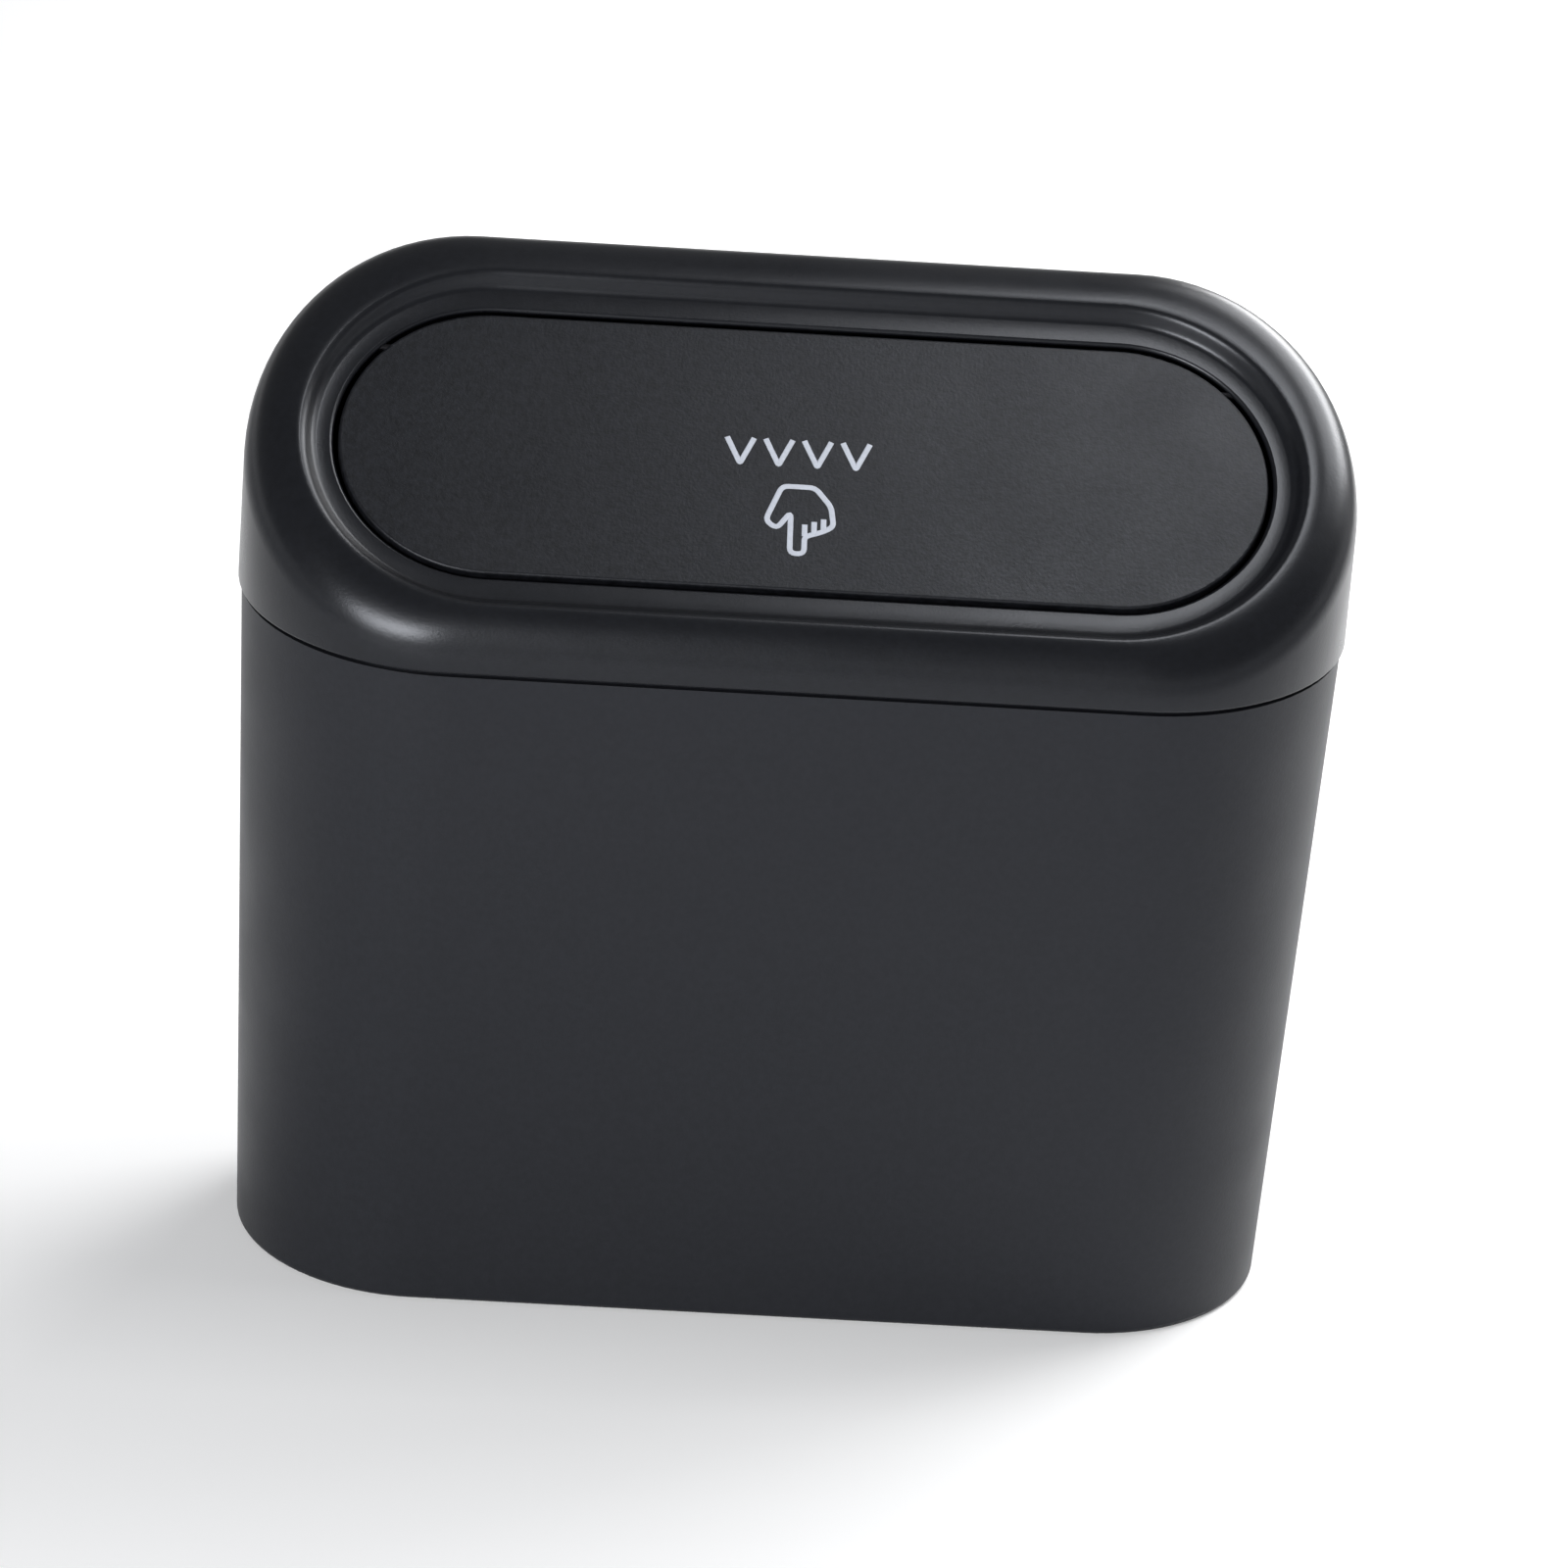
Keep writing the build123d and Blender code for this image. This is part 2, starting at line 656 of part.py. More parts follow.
def make_latch_cap():
    """Cap that closes the bottom of the housing and carries the spring."""
    cap = slope_block((latch_width, latch_breadth, latch_cap_thickness), -latch_floor() - latch_cap_thickness, 0,
                      latch_s)
    spigot = slope_block((latch_width - 2 * latch_wall - 2 * latch_slide_clearance,
                          latch_breadth - 2 * latch_wall - 2 * latch_slide_clearance, latch_cap_thickness),
                         -latch_floor(), 0, latch_s)
    return cap + spigot


def plunger_top():
    """Tips of the jaws below the flap's top face, when latched."""
    return latch_top + plunger_base / 2


def plunger_floor():
    """Floor of the pocket between the jaws, deep enough for the striker's whole travel."""
    return striker_reach + plunger_press + plunger_pop + 3 * latch_slide_clearance


def make_latch_plunger():
    """Sliding core with two jaws that hold the striker's head."""
    width = latch_width - 2 * latch_wall - 2 * latch_slide_clearance
    breadth = latch_breadth - 2 * latch_wall - 2 * latch_slide_clearance
    bottom = plunger_floor() + plunger_base
    core = slope_block((width, breadth, bottom - plunger_top()), -bottom, 0, latch_s)
    tip_gap = head_width + 2 * latch_slide_clearance
    room = tip_gap + 2 * jaw_hook
    core -= slope_block((room, breadth + 2, bottom), -plunger_floor(), 0, latch_s)
    for side in (1, -1):
        hook = slope_block((jaw_hook, breadth, jaw_hook_height), -plunger_top() - jaw_hook_height,
                           side * (room - jaw_hook) / 2, latch_s)
        core += hook
    return core


def make_latch_spring():
    """Compression spring between the cap and the plunger."""
    low = -latch_floor() + latch_cap_thickness
    high = -plunger_floor() - plunger_base
    radius = (latch_breadth - 2 * latch_wall) / 2 - spring_coil_wire - 2 * latch_slide_clearance
    pitch = (high - low - spring_coil_wire) / spring_coil_turns
    knots = helix_knots(radius, pitch, spring_coil_turns)
    edges = coil_edges(knots)
    print_gap("latch spring", edges, spring_coil_wire, 8)
    path = Wire(edges)
    profile = Plane(path @ 0, z_dir=path % 0) * Circle(spring_coil_wire / 2)
    return on_slope(0, latch_s, low + spring_coil_wire / 2) * sweep(profile, path=path)


def make_latch_screws():
    """Two screws that hold the latch up under the ledge."""
    head_top = -latch_top - flange_thickness
    shank = flange_thickness + latch_screw_length() - running_clearance
    return Compound(children=[make_screw(side * latch_screw_x, latch_screw_s(), head_top, shank).solids()[0]
                              for side in (1, -1)])


def write(name, piece):
    """Write one piece as its own file."""
    export_step(piece, f"parts/{name}.step")


os.makedirs("parts", exist_ok=True)
write("bin_body", make_bin_body())
write("lid_frame", make_lid_frame())
write("flap", make_flap())
write("flap_inner_panel", make_flap_inner_panel())
write("panel_screws", make_panel_screws())
write("striker", make_striker())
write("striker_screws", make_striker_screws())
write("hinge_pin_right", make_hinge_pin())
write("hinge_pin_left", mirrored(make_hinge_pin()))
write("hinge_spring_right", make_hinge_spring())
write("hinge_spring_left", mirrored(make_hinge_spring()))
write("latch_housing", make_latch_housing())
write("latch_cap", make_latch_cap())
write("latch_plunger", make_latch_plunger())
write("latch_spring", make_latch_spring())
write("latch_screws", make_latch_screws())
write("hook", make_hook())
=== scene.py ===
from math import cos, pi, radians, sin, tan

import bmesh
import bpy
from mathutils import Matrix, Vector


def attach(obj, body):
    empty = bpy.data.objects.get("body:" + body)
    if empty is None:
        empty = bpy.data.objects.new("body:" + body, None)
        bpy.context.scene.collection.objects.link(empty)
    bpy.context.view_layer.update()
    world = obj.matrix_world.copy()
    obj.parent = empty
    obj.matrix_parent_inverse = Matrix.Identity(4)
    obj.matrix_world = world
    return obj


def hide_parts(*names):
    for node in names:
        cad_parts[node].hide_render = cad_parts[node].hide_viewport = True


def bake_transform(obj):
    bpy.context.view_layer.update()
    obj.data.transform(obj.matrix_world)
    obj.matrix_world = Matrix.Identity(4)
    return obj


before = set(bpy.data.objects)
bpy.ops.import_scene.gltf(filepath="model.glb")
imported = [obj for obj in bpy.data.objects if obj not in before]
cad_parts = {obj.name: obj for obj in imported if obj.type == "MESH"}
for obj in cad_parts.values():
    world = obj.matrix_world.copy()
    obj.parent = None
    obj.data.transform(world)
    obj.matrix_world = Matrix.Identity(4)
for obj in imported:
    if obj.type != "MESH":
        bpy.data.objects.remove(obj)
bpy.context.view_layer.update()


# Barrel
# One deep injection moulding in charcoal black polypropylene with a fine spark-eroded grain. It narrows
# towards the floor for draft, and its back wall carries the two rails that the hook slides into.

MM = 0.001
barrel_black = (0.0085, 0.0092, 0.012)
grain_size = 0.42 * MM
speckle_size = grain_size * 2.3
mottle_size = 14 * MM
gloss_variation = 0.03
cool_shine = (0.9, 0.93, 1, 1)
noise_low = 0.3
noise_high = 0.7


def link(tree, start, end):
    """Join one node's output to another node's input."""
    tree.links.new(start, end)


def noise(tree, size, detail, seed):
    """Even noise with features of about the given size, in metres; the seed picks another part of it."""
    place = tree.nodes.new("ShaderNodeTexCoord")
    shift = tree.nodes.new("ShaderNodeMapping")
    shift.inputs["Location"].default_value = (seed, seed * 0.7, seed * 0.3)
    texture = tree.nodes.new("ShaderNodeTexNoise")
    texture.inputs["Scale"].default_value = 1 / size
    texture.inputs["Detail"].default_value = detail
    link(tree, place.outputs["Object"], shift.inputs["Vector"])
    link(tree, shift.outputs["Vector"], texture.inputs["Vector"])
    return texture.outputs["Fac"]


def spread(tree, value, low, high):
    """Stretch the usual span of a noise value to a range."""
    ramp = tree.nodes.new("ShaderNodeMapRange")
    ramp.inputs["From Min"].default_value = noise_low
    ramp.inputs["From Max"].default_value = noise_high
    ramp.inputs["To Min"].default_value = low
    ramp.inputs["To Max"].default_value = high
    link(tree, value, ramp.inputs["Value"])
    return ramp.outputs["Result"]


def tinted(tree, value, colour, low, high):
    """The colour, lighter and darker with a noise value."""
    mix = tree.nodes.new("ShaderNodeMix")
    mix.data_type = "RGBA"
    mix.inputs["A"].default_value = tuple(c * low for c in colour) + (1,)
    mix.inputs["B"].default_value = tuple(c * high for c in colour) + (1,)
    link(tree, spread(tree, value, 0, 1), mix.inputs["Factor"])
    return mix.outputs["Result"]


def roughened(tree, size, detail, seed, depth):
    """Give the surface bumps of the given size and depth."""
    bump = tree.nodes.new("ShaderNodeBump")
    bump.inputs["Distance"].default_value = depth
    link(tree, noise(tree, size, detail, seed), bump.inputs["Height"])
    link(tree, bump.outputs["Normal"], tree.nodes["Principled BSDF"].inputs["Normal"])


def moulded_plastic(name, colour, roughness, grain_depth, specular=0.5, contrast=0.12, seed=0.0):
    """Plastic from a grained mould: fine bumps, and a gloss and tone that vary a little over the surface."""
    material = bpy.data.materials.new(name)
    material.use_nodes = True
    tree = material.node_tree
    shader = tree.nodes["Principled BSDF"]
    shader.inputs["Specular IOR Level"].default_value = specular
    shader.inputs["Specular Tint"].default_value = cool_shine
    speckle = noise(tree, speckle_size, 1.0, seed + 5)
    link(tree, tinted(tree, speckle, colour, 1 - contrast, 1 + contrast), shader.inputs["Base Color"])
    mottle = noise(tree, mottle_size, 3.0, seed + 2)
    gloss = spread(tree, mottle, roughness - gloss_variation, roughness + gloss_variation)
    link(tree, gloss, shader.inputs["Roughness"])
    roughened(tree, grain_size, 2.0, seed, grain_depth)
    return material


def paint(node, material):
    """Give a carried-over piece its material."""
    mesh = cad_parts[node].data
    mesh.materials.clear()
    mesh.materials.append(material)


barrel_plastic = moulded_plastic("barrel_plastic", barrel_black, roughness=0.46, grain_depth=0.016 * MM,
                                 specular=0.32)
paint("bin_body", barrel_plastic)


# Lid frame
# The bulged ring that plugs into the barrel, moulded in the same black with a slightly smoother face. Its
# top slants down to the user, and a skirt under its shelf grips the inside of the barrel.

bin_length = 155 * MM
bin_depth = 58.5 * MM
seam_height = 100.5 * MM
side_taper = 3.6 * MM
barrel_wall = 1.8 * MM
lid_overhang = 0.5 * MM
lid_length = bin_length + 2 * lid_overhang
lid_depth = bin_depth + 2 * lid_overhang
seam_gap = 0.35 * MM
lid_bottom = seam_height + seam_gap
lid_wall = 1.8 * MM
bottom_edge_radius = 0.35 * MM

tilt = radians(34)
slope = tan(tilt)
flap_length = 130 * MM
flap_depth = 42.5 * MM
flap_middle_y = -2.5 * MM
flap_above_seam = 23.4 * MM
flap_middle_z = seam_height + flap_above_seam
flap_gap = 0.7 * MM

ledge_side = 3.2 * MM
ledge_end = 2.3 * MM
inner_wall_run = 2.5 * MM
inner_wall_rounding = 0.6
crest_height = 2.1 * MM
bulge_drop_front = 5.5 * MM
bulge_drop_back = 12 * MM

mouth_lip = 0.6 * MM
mouth_edge_break = 0.45 * MM
mouth_edge_support = 0.08 * MM
rib_thickness = 1.3 * MM
rib_height = 3.2 * MM
hollow_edge_radius = 6 * MM
plug_depth = 8 * MM
plug_clearance = 0.3 * MM
plug_inset = barrel_wall + plug_clearance
plug_thickness = 1.5 * MM

side_steps = 16
end_steps = 44
bulge_steps = 22
inner_wall_steps = 14
edge_steps = 4


def slanted_stadium(long, front, back, end_run, height, rise):
    """Points of a stadium in plan, on a plane that rises to the back and has this height at its middle."""
    middle = (front + back) / 2
    half = (back - front) / 2
    straight = long / 2 - end_run
    flat = []
    for k in range(end_steps + 1):
        turn = pi * (k / end_steps - 0.5)
        flat.append((straight + end_run * cos(turn), half * sin(turn)))
    for k in range(1, side_steps):
        flat.append((straight - 2 * straight * k / side_steps, half))
    for k in range(end_steps + 1):
        turn = pi * (k / end_steps + 0.5)
        flat.append((-straight + end_run * cos(turn), half * sin(turn)))
    for k in range(1, side_steps):
        flat.append((-straight + 2 * straight * k / side_steps, -half))
    return [Vector((x, middle + y, height + rise * y)) for x, y in flat]


def slope_ring(grow_end, grow_side, n):
    """A stadium on the lid's slope: the flap's outline grown outward, at height n above the flap's face."""
    long = flap_length + 2 * grow_end
    wide = flap_depth + 2 * grow_side
    middle = flap_middle_y - n * sin(tilt)
    half = wide / 2 * cos(tilt)
    return long, middle - half, middle + half, wide / 2, flap_middle_z + n * cos(tilt), slope


def crest_ring(share):
    """Outline on the sloping inner wall, from the crest (share 0) to the edge of the ledge (share 1)."""
    run = inner_wall_run * (1 - share)
    fall = share - sin(2 * pi * share) / (2 * pi) * inner_wall_rounding
    return slope_ring(flap_gap + ledge_end + run, flap_gap + ledge_side + run, crest_height * (1 - fall))


def bulge_ring(angle):
    """Outline of the bulge, from the top of the upright wall (0) to the crest (a quarter turn)."""
    crest_long, crest_front, crest_back, crest_run, crest_z, crest_rise = crest_ring(0)
    inward = 1 - cos(angle)
    fallen = 1 - sin(angle)
    half = lid_depth / 2
    front = -half + (crest_front + half) * inward
    back = half - (half - crest_back) * inward
    long = lid_length - (lid_length - crest_long) * inward
    end_run = half + (crest_run - half) * inward
    middle = (front + back) / 2
    extra_drop = bulge_drop_back - bulge_drop_front
    drop = bulge_drop_front + extra_drop * (middle + half) / lid_depth
    height = crest_z + crest_rise * (middle - (crest_front + crest_back) / 2) - fallen * drop
    return long, front, back, end_run, height, crest_rise - fallen * extra_drop / lid_depth


def level_ring(long, deep, inset, z):
    """A level stadium, inset from the given length and depth."""
    half = deep / 2 - inset
    return long - 2 * inset, -half, half, half, z, 0


def hollow_ring(inset, below):
    """A ring on the hollow's side or roof, parallel to the lid's slope."""
    half = lid_depth / 2 - lid_wall - inset
    height = flap_middle_z - slope * flap_middle_y - (lid_wall + below) / cos(tilt)
    return lid_length - 2 * (lid_wall + inset), -half, half, half, height, slope


def bottom_edge_ring(angle):
    """A ring on the small round of the outer bottom edge, from its foot (0) to the wall (a quarter turn)."""
    inset = bottom_edge_radius * (1 - sin(angle))
    return level_ring(lid_length, lid_depth, inset, lid_bottom + bottom_edge_radius * (1 - cos(angle)))


def hollow_edge_ring(angle):
    """A ring on the round between the hollow's roof (0) and its side (a quarter turn)."""
    return hollow_ring(hollow_edge_radius * (1 - sin(angle)), hollow_edge_radius * (1 - cos(angle)))


def mouth_rings():
    """The ledge's inner edge with its bevel, the lip, and the rib that hangs round the mouth."""
    supported = mouth_edge_break + mouth_edge_support
    under = flap_gap + lid_wall - mouth_lip
    rib_outside = under + rib_thickness
    rib_low = -lid_wall - rib_height
    steps = [(flap_gap + supported, 0), (flap_gap + mouth_edge_break, 0), (flap_gap, -mouth_edge_break),
             (flap_gap, -supported), (flap_gap, -mouth_lip), (under, -lid_wall), (under, rib_low),
             (rib_outside, rib_low), (rib_outside, -lid_wall)]
    return [slope_ring(grow, grow, n) for grow, n in steps]


def plug_rings():
    """The shelf over the barrel's rim and the skirt that plugs into the barrel."""
    shelf_top = lid_bottom + lid_wall
    plug_low = seam_height - plug_depth
    plug_draft = side_taper * plug_depth / seam_height
    inner = plug_inset + plug_thickness
    steps = [(inner, shelf_top), (inner + plug_draft, plug_low), (plug_inset + plug_draft, plug_low),
             (plug_inset, lid_bottom)]
    shelf = level_ring(lid_length, lid_depth, lid_wall, shelf_top)
    return [shelf] + [level_ring(bin_length, bin_depth, inset, z) for inset, z in steps]


def lid_rings():
    """Every ring of the lid frame, once round its section from the outer bottom edge."""
    quarter = [k / edge_steps * pi / 2 for k in range(edge_steps + 1)]
    rings = [bottom_edge_ring(angle) for angle in quarter]
    rings += [bulge_ring(k / bulge_steps * pi / 2) for k in range(bulge_steps + 1)]
    rings += [crest_ring(k / inner_wall_steps) for k in range(1, inner_wall_steps + 1)]
    rings += mouth_rings()
    rings += [hollow_edge_ring(angle) for angle in quarter]
    rings += plug_rings()
    return rings


def ring_skin(rings):
    """A closed skin of quads through rings with equal numbers of points, the last joined to the first."""
    form = bmesh.new()
    rows = [[form.verts.new(point) for point in slanted_stadium(*ring)] for ring in rings]
    for low, high in zip(rows, rows[1:] + rows[:1]):
        for k in range(len(low)):
            after = (k + 1) % len(low)
            form.faces.new((low[k], low[after], high[after], high[k]))
    return form


def slope_place(x, s, n):
    """A frame on the lid's slope: x along it, s up the slope from the flap's middle, n above its face."""
    across = Vector((1, 0, 0))
    up_slope = Vector((0, cos(tilt), sin(tilt)))
    normal = Vector((0, -sin(tilt), cos(tilt)))
    origin = Vector((0, flap_middle_y, flap_middle_z)) + across * x + up_slope * s + normal * n
    place = Matrix((across, up_slope, normal)).transposed().to_4x4()
    place.translation = origin
    return place


def add_bar(form, radius, length, place):
    """A closed round bar, its middle at the place and its length along the place's third axis."""
    made = bmesh.ops.create_cone(form, cap_ends=True, segments=bar_sides, radius1=radius, radius2=radius,
                                 depth=length, matrix=place)
    return made["verts"]


def flatten_above(corners, n):
    """Bring the corners that stand above height n over the slope down to it."""
    origin = slope_place(0, 0, n).translation
    normal = Vector((0, -sin(tilt), cos(tilt)))
    for corner in corners:
        above = (corner.co - origin).dot(normal)
        if above > 0:
            corner.co -= normal * above


def placed(name, mesh, material):
    """Put a mesh in the scene as a piece of its own, in one material."""
    mesh.materials.clear()
    mesh.materials.append(material)
    piece = bpy.data.objects.new(name, mesh)
    bpy.context.scene.collection.objects.link(piece)
    return piece


def smooth_piece(form, name, material):
    """Turn a form into a piece: outward normals, smooth faces and crisp creases."""
    bmesh.ops.recalc_face_normals(form, faces=form.faces)
    mesh = bpy.data.meshes.new(name)
    form.to_mesh(mesh)
    form.free()
    for face in mesh.polygons:
        face.use_smooth = True
    mesh.set_sharp_from_angle(angle=crease_angle)
    return placed(name, mesh, material)


lid_black = (0.0055, 0.006, 0.0078)
crease_angle = radians(50)
bar_sides = 40
hinge_setback = 6 * MM
hinge_depth = 0.9 * MM
hinge_s = flap_depth / 2 - hinge_setback
frame_boss_x = 62.9 * MM
frame_boss_width = 2.4 * MM
frame_boss_radius = 1.7 * MM
latch_post_foot = -9.2 * MM
latch_post_top = -lid_wall / 2
latch_post_length = latch_post_top - latch_post_foot
latch_post_radius = 2.3 * MM
latch_screw_x = 7.5 * MM
latch_screw_s = -25.45 * MM

lid_plastic = moulded_plastic("lid_plastic", lid_black, roughness=0.3, grain_depth=0.012 * MM, specular=0.36,
                              contrast=0.15, seed=11.0)
lid_form = ring_skin(lid_rings())
along_x = Matrix.Rotation(pi / 2, 4, "Y")
for side in (-1, 1):
    boss_place = slope_place(side * frame_boss_x, hinge_s, -hinge_depth) @ along_x
    boss_corners = add_bar(lid_form, frame_boss_radius, frame_boss_width, boss_place)
    flatten_above(boss_corners, -lid_wall / 2)
    post_place = slope_place(side * latch_screw_x, latch_screw_s, latch_post_foot + latch_post_length / 2)
    add_bar(lid_form, latch_post_radius, latch_post_length, post_place)
lid_shell = smooth_piece(lid_form, "lid_frame_shell", lid_plastic)
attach(lid_shell, "lid_frame")
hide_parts("lid_frame")


# Flap
# A flat cover plate with a softened edge, moulded with a coarser grain than the frame round it, so that it
# looks duller. Its underside has the bosses for the pins and for the inner panel's screws.

flap_black = (0.0062, 0.0067, 0.0086)
flap_plastic = moulded_plastic("flap_plastic", flap_black, roughness=0.43, grain_depth=0.03 * MM,
                               specular=0.33, contrast=0.4, seed=23.0)
paint("flap", flap_plastic)


# Print on the flap
# A pressing hand and a row of small arrows, pad-printed in pale grey ink a few hundredths of a millimetre
# thick near the middle of the flap, and pointing to the edge that is pressed.

ink_colour = (0.5, 0.53, 0.6)
ink_patch_size = 0.8 * MM
ink_height = 0.03 * MM
stroke = 0.8 * MM
stroke_roundness = 4
corner_steps = 4
corner_share = 0.45


def printing_ink(name):
    """Matt ink, slightly uneven as pad printing leaves it."""
    material = bpy.data.materials.new(name)
    material.use_nodes = True
    tree = material.node_tree
    shader = tree.nodes["Principled BSDF"]
    patches = noise(tree, ink_patch_size, 2.0, 3.0)
    link(tree, tinted(tree, patches, ink_colour, 0.93, 1.05), shader.inputs["Base Color"])
    link(tree, spread(tree, patches, 0.45, 0.6), shader.inputs["Roughness"])
    return material


def round_bead(name, points, width, roundness, closed=False):
    """The mesh of a round bead of the given width along the points."""
    curve = bpy.data.curves.new(name, "CURVE")
    curve.dimensions = "3D"
    curve.bevel_depth = width / 2
    curve.bevel_resolution = roundness
    curve.use_fill_caps = True
    spline = curve.splines.new("POLY")
    spline.points.add(len(points) - 1)
    for knot, point in zip(spline.points, points):
        knot.co = (*point, 1)
    spline.use_cyclic_u = closed
    guide = bpy.data.objects.new(name + "_guide", curve)
    bpy.context.scene.collection.objects.link(guide)
    mesh = bpy.data.meshes.new_from_object(guide)
    bpy.data.objects.remove(guide)
    mesh.name = name
    return mesh


def printed_line(name, points, closed=False):
    """A stroke of ink with rounded sides on the flap's face, as a bead pressed flat; points are (x, s)."""
    mesh = round_bead(name, [(x, s, 0) for x, s in points], stroke, stroke_roundness, closed)
    for corner in mesh.vertices:
        corner.co.z *= ink_height / (stroke / 2)
    mesh.transform(slope_place(0, 0, 0))
    mark = placed(name, mesh, ink)
    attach(mark, "flap")


def rounded(corners, radius, closed=False):
    """The polyline with each inner corner turned into a short arc."""
    count = len(corners)
    path = []
    for k in range(count):
        here = Vector(corners[k])
        if not closed and k in (0, count - 1):
            path.append(tuple(here))
            continue
        before = Vector(corners[k - 1]) - here
        after = Vector(corners[(k + 1) % count]) - here
        cut = min(radius, before.length * corner_share, after.length * corner_share)
        start = here + before.normalized() * cut
        end = here + after.normalized() * cut
        for step in range(corner_steps + 1):
            t = step / corner_steps
            path.append(tuple(start * (1 - t) ** 2 + here * (2 * t * (1 - t)) + end * t ** 2))
    return path


ink = printing_ink("printing_ink")
print_x = -0.9 * MM
arrow_count = 4
arrow_row_s = 1.1 * MM
arrow_spacing = 5.4 * MM
arrow_half_width = 1.9 * MM
arrow_half_height = 2.1 * MM
arrow_tip_radius = 0.3 * MM
for k in range(arrow_count):
    middle = print_x + (k - (arrow_count - 1) / 2) * arrow_spacing
    arrow = [(middle - arrow_half_width, arrow_row_s + arrow_half_height),
             (middle, arrow_row_s - arrow_half_height),
             (middle + arrow_half_width, arrow_row_s + arrow_half_height)]
    printed_line(f"arrow_mark_{k + 1}", rounded(arrow, arrow_tip_radius))

hand_x = print_x + 0.2 * MM
hand_top = -4.4 * MM
hand_corner_radius = 0.9 * MM
cuff_half_width = 2.3 * MM
palm_side = 5.0 * MM
shoulder_x = palm_side - 0.4 * MM
shoulder_s = hand_top - 3.0 * MM
fold_count = 3
fold_spacing = 1.3 * MM
fold_length = 1.9 * MM
fold_foot = hand_top - 8.0 * MM
knuckle_row = hand_top - 7.6 * MM
knuckle_step = 0.5 * MM
little_finger_s = knuckle_row + 1.4 * MM
finger_half_width = 1.0 * MM
finger_tip = -15.3 * MM
thumb_root = hand_top - 4.2 * MM
thumb_side = -3.9 * MM
thumb_inner_tip = (thumb_side + 1.0 * MM, thumb_root - 2.8 * MM)
thumb_outer_tip = (thumb_side - 0.6 * MM, thumb_root - 1.5 * MM)

cuff = [(-cuff_half_width, hand_top), (cuff_half_width, hand_top)]
palm = [(shoulder_x, shoulder_s), (palm_side, little_finger_s)]
folded_fingers = [(finger_half_width + 2 * fold_spacing, knuckle_row + knuckle_step),
                  (finger_half_width + fold_spacing, knuckle_row),
                  (finger_half_width, knuckle_row - knuckle_step)]
straight_finger = [(finger_half_width, finger_tip), (-finger_half_width, finger_tip),
                   (-finger_half_width, thumb_root)]
thumb = [thumb_inner_tip, thumb_outer_tip]
hand_outline = [(hand_x + x, s) for x, s in cuff + palm + folded_fingers + straight_finger + thumb]
printed_line("hand_mark", rounded(hand_outline, hand_corner_radius, closed=True), closed=True)
for k in range(fold_count):
    fold_x = hand_x + finger_half_width + k * fold_spacing
    fold_s = fold_foot + k * knuckle_step
    printed_line(f"fold_mark_{k + 1}", [(fold_x, fold_s), (fold_x, fold_s + fold_length)])


# Inner panel, striker and their screws
# A shallow black tray is screwed under the flap and closes its bosses. It carries the T-headed striker,
# which is moulded in a tougher dark grey plastic, on two small pan-head screws.

inner_black = (0.016, 0.016, 0.018)
latch_grey = (0.035, 0.035, 0.038)
zinc_grey = (0.46, 0.46, 0.47)
steel_gloss_variation = 0.07
drawing_mark_size = 0.15 * MM
drawing_mark_depth = 0.003 * MM


def streaked_steel(name, colour, roughness, streak_size, seed):
    """Zinc-plated, blackened or bare steel, with a gloss that varies in fine streaks."""
    material = bpy.data.materials.new(name)
    material.use_nodes = True
    tree = material.node_tree
    shader = tree.nodes["Principled BSDF"]
    shader.inputs["Metallic"].default_value = 1.0
    cloud = noise(tree, streak_size, 3.0, seed)
    link(tree, tinted(tree, cloud, colour, 0.88, 1.06), shader.inputs["Base Color"])
    gloss = spread(tree, cloud, roughness - steel_gloss_variation, roughness + steel_gloss_variation)
    link(tree, gloss, shader.inputs["Roughness"])
    roughened(tree, drawing_mark_size, 1.0, seed + 1, drawing_mark_depth)
    return material


inner_plastic = moulded_plastic("inner_plastic", inner_black, roughness=0.5, grain_depth=0.008 * MM,
                                seed=31.0)
latch_plastic = moulded_plastic("latch_plastic", latch_grey, roughness=0.4, grain_depth=0.004 * MM,
                                seed=37.0)
screw_steel = streaked_steel("screw_steel", zinc_grey, roughness=0.33, streak_size=0.6 * MM, seed=41.0)
paint("flap_inner_panel", inner_plastic)
paint("striker", latch_plastic)
paint("panel_screws", screw_steel)
paint("striker_screws", screw_steel)


# Hinge pins
# Two short pins of blackened steel, pressed into the flap's back bosses. Their free ends turn in the bosses
# of the lid frame, and each has a slot at its end for a spring's tail.

# The pins' colour is partly real and partly painted shade: it is darker than blackened steel alone, so that
# where a pin crosses the flap's gap it reads as the gap's shadow.
blackened_with_painted_shade = (0.015, 0.015, 0.017)
pin_steel = streaked_steel("pin_steel", blackened_with_painted_shade, roughness=0.51, streak_size=0.5 * MM, seed=43.0)
paint("hinge_pin_left", pin_steel)
paint("hinge_pin_right", pin_steel)


# Hinge springs
# Two torsion springs of drawn wire turn the flap up. Each is wound round the outer end of a pin, with a tail
# in the pin's slot and a leg against the lid frame.

wire_grey = (0.42, 0.42, 0.44)
wire_roundness = 5
points_per_turn = 28
hinge_wire = 0.4 * MM
hinge_coil_x = 64.567 * MM
hinge_coil_radius = 1.1 * MM
hinge_coil_pitch = 0.85 * MM
hinge_coil_turns = 3
hinge_coil_length = hinge_coil_pitch * hinge_coil_turns
hinge_leg = 1.8 * MM
leg_steps = 4
tail_steps = 8
hinge_pin_radius = 0.5 * MM


def wire_piece(name, points, wire):
    """A round spring wire along the points."""
    mesh = round_bead(name, points, wire, wire_roundness)
    for face in mesh.polygons:
        face.use_smooth = True
    return placed(name, mesh, spring_steel)


